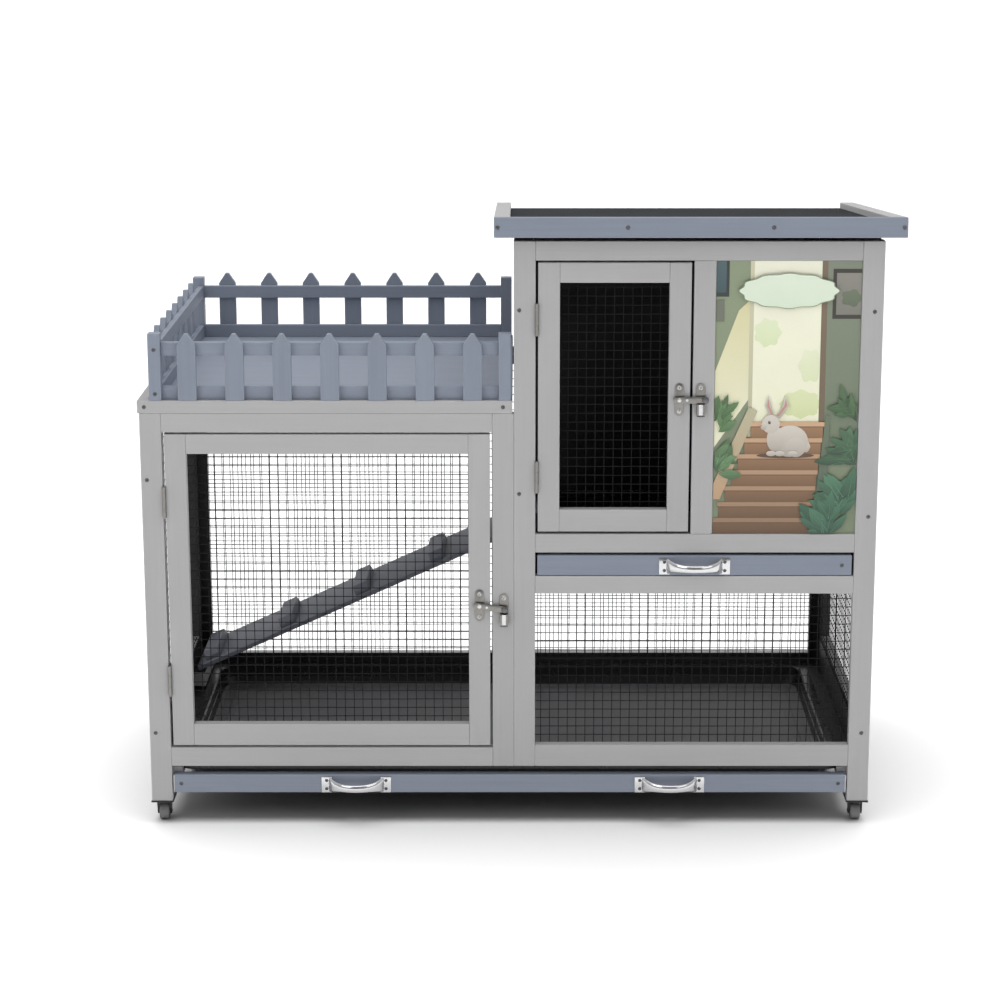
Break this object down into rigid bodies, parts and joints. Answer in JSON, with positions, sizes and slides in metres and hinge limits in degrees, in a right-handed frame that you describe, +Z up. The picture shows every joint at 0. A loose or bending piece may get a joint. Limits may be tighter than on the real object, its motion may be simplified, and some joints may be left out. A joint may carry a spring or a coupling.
{
  "type": "rabbit hutch",
  "caption": "Rabbit hutch on casters: a mesh run with a fenced deck on top, beside a taller cabin with a lifting roof, mesh doors, pull-out floor pans and a ramp.",
  "frame": {"origin": "on the ground, under the middle of the bounding box", "axes": "+Z up, the front with the doors faces -Y, +X runs from the fenced run towards the tall cabin"},
  "size_m": [1.0576, 0.544, 0.881],
  "materials": {
    "light_grey_paint": "satin light grey paint on pine boards",
    "blue_grey_paint": "satin blue-grey paint on pine boards",
    "bare_wood": "unpainted plywood and softwood",
    "black_wire": "black coated welded wire",
    "printed_panel": "thin board with a printed picture",
    "zinc_fittings": "bright zinc plate",
    "screw_heads": "dark zinc screw heads",
    "chrome_handles": "polished chrome plate",
    "black_pan": "moulded black plastic",
    "roofing_felt": "dark mineral roofing felt",
    "caster_metal": "black enamelled pressed steel",
    "wheel_rubber": "grey rubber tread"
  },
  "bodies": {
    "root": {"front_legs": "light_grey_paint", "back_posts": "light_grey_paint", "run_inner_stile": "light_grey_paint", "cabin_posts": "light_grey_paint", "run_front_rails": "light_grey_paint", "cabin_front_rails": "light_grey_paint", "back_rails": "light_grey_paint", "side_stiles": "light_grey_paint", "side_rails": "light_grey_paint", "run_meshes": "black_wire", "cabin_back_wall": "light_grey_paint", "cabin_side_walls": "light_grey_paint", "cabin_floor": "bare_wood", "picture_panel": "printed_panel", "deck_floor": "blue_grey_paint", "deck_edges": "light_grey_paint", "fence_posts": "blue_grey_paint", "fence_rails": "blue_grey_paint", "fence_pickets": "blue_grey_paint", "tray_runners": "light_grey_paint", "ramp_plank": "blue_grey_paint", "ramp_cleats": "blue_grey_paint", "latch_keepers": "zinc_fittings", "door_hinge_frame_leaves": "zinc_fittings", "roof_hinge_frame_leaves": "zinc_fittings", "caster_plates": "caster_metal", "frame_screws": "screw_heads"},
    "roof": {"roof_panel": "bare_wood", "roof_felt": "roofing_felt", "roof_fascia": "blue_grey_paint", "roof_rims": "light_grey_paint", "roof_battens": "bare_wood", "roof_hardware": "zinc_fittings"},
    "upper_door": {"upper_door_stiles": "light_grey_paint", "upper_door_rails": "light_grey_paint", "upper_door_mesh": "black_wire", "upper_door_hinge_leaves": "zinc_fittings", "upper_latch_plate": "zinc_fittings"},
    "upper_latch": {"upper_latch_arm": "zinc_fittings"},
    "lower_door": {"lower_door_stiles": "light_grey_paint", "lower_door_rails": "light_grey_paint", "lower_door_mesh": "black_wire", "lower_door_hinge_leaves": "zinc_fittings", "lower_latch_plate": "zinc_fittings"},
    "lower_latch": {"lower_latch_arm": "zinc_fittings"},
    "upper_tray": {"upper_tray_pan": "black_pan", "upper_tray_front": "blue_grey_paint", "upper_tray_handle": "chrome_handles"},
    "lower_tray": {"lower_tray_pan": "black_pan", "lower_tray_front": "blue_grey_paint", "lower_tray_handles": "chrome_handles"},
    "caster_front_left": {"caster_fork_front_left": "caster_metal"},
    "wheel_front_left": {"caster_wheel_front_left": "wheel_rubber"},
    "caster_front_right": {"caster_fork_front_right": "caster_metal"},
    "wheel_front_right": {"caster_wheel_front_right": "wheel_rubber"},
    "caster_back_left": {"caster_fork_back_left": "caster_metal"},
    "wheel_back_left": {"caster_wheel_back_left": "wheel_rubber"},
    "caster_back_right": {"caster_fork_back_right": "caster_metal"},
    "wheel_back_right": {"caster_wheel_back_right": "wheel_rubber"}
  },
  "joints": [
    {"name": "roof_lift", "type": "hinge", "parent": "root", "child": "roof", "pos_m": [0.24775, 0.2555, 0.81022], "axis": [-1, 0, 0], "range_deg": [0, 80]},
    {"name": "upper_door_swing", "type": "hinge", "parent": "root", "child": "upper_door", "pos_m": [0.0255, -0.2505, 0.625], "axis": [0, 0, -1], "range_deg": [0, 150]},
    {"name": "upper_latch_turn", "type": "hinge", "parent": "upper_door", "child": "upper_latch", "pos_m": [0.22275, -0.253, 0.625], "axis": [0, -1, 0], "range_deg": [0, 110]},
    {"name": "lower_door_swing", "type": "hinge", "parent": "root", "child": "lower_door", "pos_m": [-0.4945, -0.2505, 0.3465], "axis": [0, 0, -1], "range_deg": [0, 150]},
    {"name": "lower_latch_turn", "type": "hinge", "parent": "lower_door", "child": "lower_latch", "pos_m": [-0.05475, -0.253, 0.328], "axis": [0, -1, 0], "range_deg": [0, 110]},
    {"name": "upper_tray_slide", "type": "slide", "parent": "root", "child": "upper_tray", "axis": [0, -1, 0], "range_m": [0, 0.32]},
    {"name": "lower_tray_slide", "type": "slide", "parent": "root", "child": "lower_tray", "axis": [0, -1, 0], "range_m": [0, 0.42]},
    {"name": "caster_front_left_swivel", "type": "hinge", "parent": "root", "child": "caster_front_left", "pos_m": [-0.51125, -0.231, 0.03], "axis": [0, 0, 1], "continuous": true},
    {"name": "wheel_front_left_roll", "type": "hinge", "parent": "caster_front_left", "child": "wheel_front_left", "pos_m": [-0.51125, -0.225, 0.0125], "axis": [1, 0, 0], "continuous": true},
    {"name": "caster_front_right_swivel", "type": "hinge", "parent": "root", "child": "caster_front_right", "pos_m": [0.48675, -0.231, 0.03], "axis": [0, 0, 1], "continuous": true},
    {"name": "wheel_front_right_roll", "type": "hinge", "parent": "caster_front_right", "child": "wheel_front_right", "pos_m": [0.48675, -0.225, 0.0125], "axis": [1, 0, 0], "continuous": true},
    {"name": "caster_back_left_swivel", "type": "hinge", "parent": "root", "child": "caster_back_left", "pos_m": [-0.51125, 0.235, 0.03], "axis": [0, 0, 1], "continuous": true},
    {"name": "wheel_back_left_roll", "type": "hinge", "parent": "caster_back_left", "child": "wheel_back_left", "pos_m": [-0.51125, 0.241, 0.0125], "axis": [1, 0, 0], "continuous": true},
    {"name": "caster_back_right_swivel", "type": "hinge", "parent": "root", "child": "caster_back_right", "pos_m": [0.48675, 0.235, 0.03], "axis": [0, 0, 1], "continuous": true},
    {"name": "wheel_back_right_roll", "type": "hinge", "parent": "caster_back_right", "child": "wheel_back_right", "pos_m": [0.48675, 0.241, 0.0125], "axis": [1, 0, 0], "continuous": true}
  ]
}
